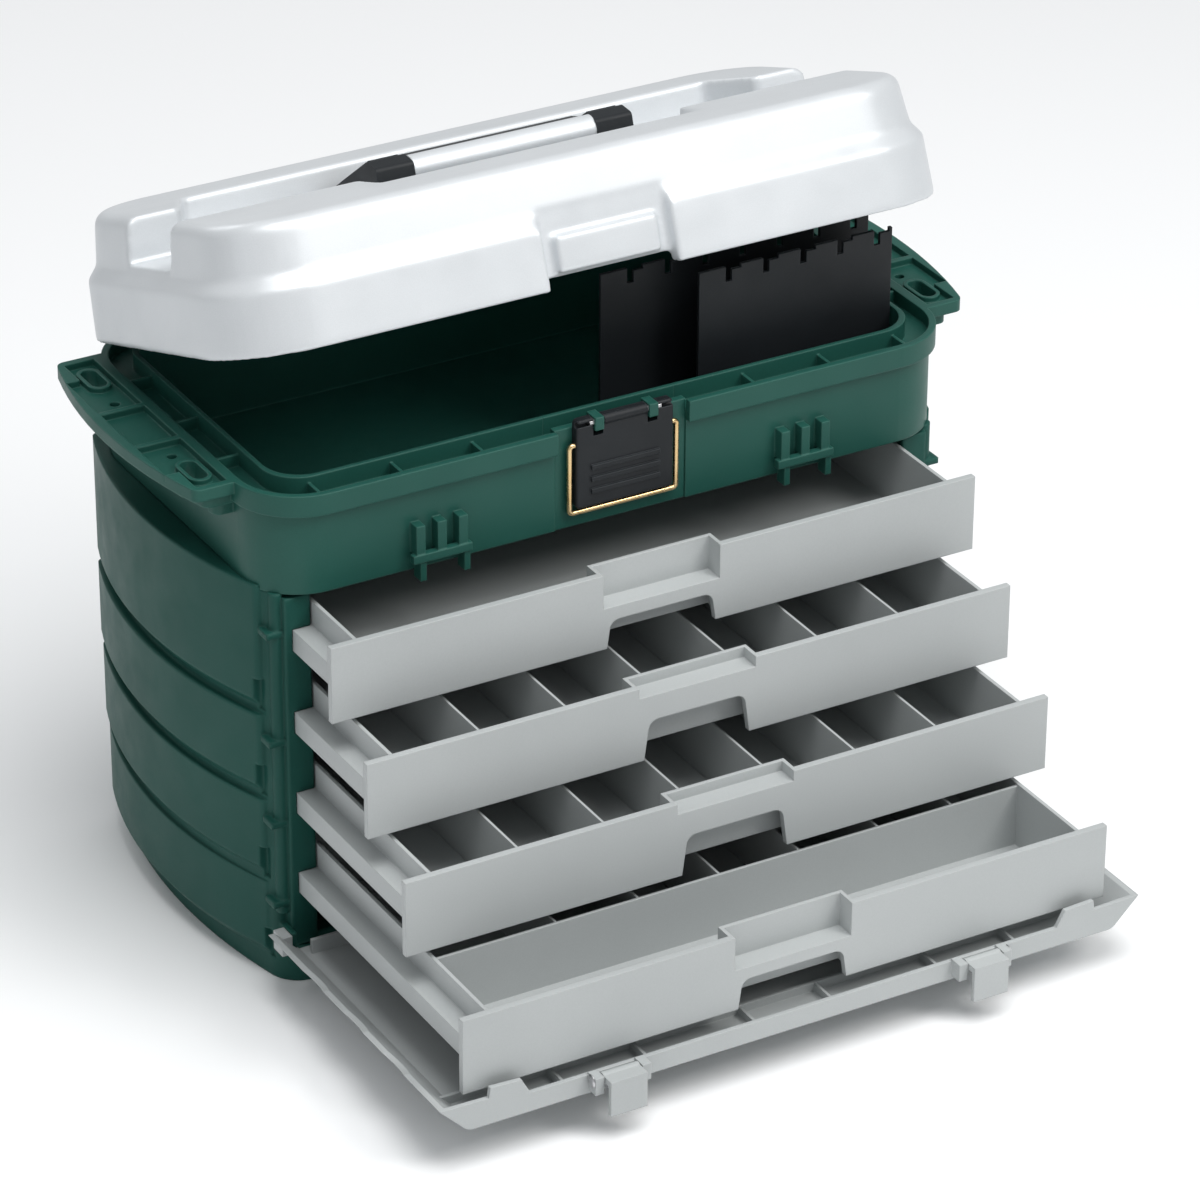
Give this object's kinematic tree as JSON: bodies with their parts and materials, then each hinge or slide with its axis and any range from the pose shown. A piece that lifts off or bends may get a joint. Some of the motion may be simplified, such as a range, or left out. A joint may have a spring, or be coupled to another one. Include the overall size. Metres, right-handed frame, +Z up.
{
  "type": "fishing tackle box",
  "caption": "Hip-roof tackle box with a hinged lid, folding handle, open tub, sliding tackle drawers and a drop-down front door.",
  "frame": {"origin": "on the floor at the middle of the cabinet's base", "axes": "+Z up, +X to the right seen from the front, -Y to the front, where the drawers and the door open"},
  "size_m": [0.566, 0.5045, 0.5025],
  "materials": {
    "green": "satin moulded",
    "silver": "satin silver",
    "grey": "satin moulded",
    "black": "satin moulded",
    "brass": "bright wire",
    "steel": "drawn wire"
  },
  "bodies": {
    "cabinet": {"cabinet_shell": "green", "guide_left": "black", "guide_right": "black", "upper_tub": "green", "latch_wall": "green", "lid_hinge_pins": "steel", "latch_pin": "steel", "door_pins": "grey", "lure_rack": "black"},
    "lid": {"lid": "silver", "handle_pins": "black"},
    "handle": {"handle_bow": "black", "handle_grip": "silver"},
    "latch_plate": {"latch_plate": "black"},
    "latch_bail": {"latch_bail": "brass"},
    "drawer_1": {"drawer_1_tray": "grey"},
    "drawer_2": {"drawer_2_tray": "grey", "drawer_2_dividers": "grey"},
    "drawer_3": {"drawer_3_tray": "grey", "drawer_3_dividers": "grey"},
    "drawer_4": {"drawer_4_tray": "grey", "drawer_4_dividers": "grey"},
    "door": {"door": "grey", "clip_pins": "grey"},
    "door_clip_left": {"door_clip_left": "grey"},
    "door_clip_right": {"door_clip_right": "grey"}
  },
  "joints": [
    {"name": "lid_hinge", "type": "hinge", "parent": "cabinet", "child": "lid", "pos_m": [0, 0.132, 0.348], "axis": [-1, 0, 0], "range_deg": [-19.3, 70.7]},
    {"name": "handle_hinge", "type": "hinge", "parent": "lid", "child": "handle", "pos_m": [0, 0.06901, 0.42833], "axis": [-1, 0, 0], "range_deg": [0, 90]},
    {"name": "latch_hinge", "type": "hinge", "parent": "cabinet", "child": "latch_plate", "pos_m": [0, -0.134, 0.347], "axis": [-1, 0, 0], "range_deg": [0, 75]},
    {"name": "bail_hinge", "type": "hinge", "parent": "latch_plate", "child": "latch_bail", "pos_m": [0, -0.1326, 0.333], "axis": [-1, 0, 0], "range_deg": [0, 180]},
    {"name": "drawer_1_slide", "type": "slide", "parent": "cabinet", "child": "drawer_1", "axis": [0, -1, 0], "range_m": [-0.0541, 0.1626]},
    {"name": "drawer_2_slide", "type": "slide", "parent": "cabinet", "child": "drawer_2", "axis": [0, -1, 0], "range_m": [-0.0981, 0.1186]},
    {"name": "drawer_3_slide", "type": "slide", "parent": "cabinet", "child": "drawer_3", "axis": [0, -1, 0], "range_m": [-0.1449, 0.0718]},
    {"name": "drawer_4_slide", "type": "slide", "parent": "cabinet", "child": "drawer_4", "axis": [0, -1, 0], "range_m": [-0.2147, 0.002]},
    {"name": "door_hinge", "type": "hinge", "parent": "cabinet", "child": "door", "pos_m": [0, -0.125, 0.038], "axis": [-1, 0, 0], "range_deg": [0, 1.8]},
    {"name": "clip_left_hinge", "type": "hinge", "parent": "door", "child": "door_clip_left", "pos_m": [-0.128, -0.3555, 0.038], "axis": [-1, 0, 0], "range_deg": [0, 90]},
    {"name": "clip_right_hinge", "type": "hinge", "parent": "door", "child": "door_clip_right", "pos_m": [0.128, -0.3555, 0.038], "axis": [-1, 0, 0], "range_deg": [0, 90]}
  ]
}
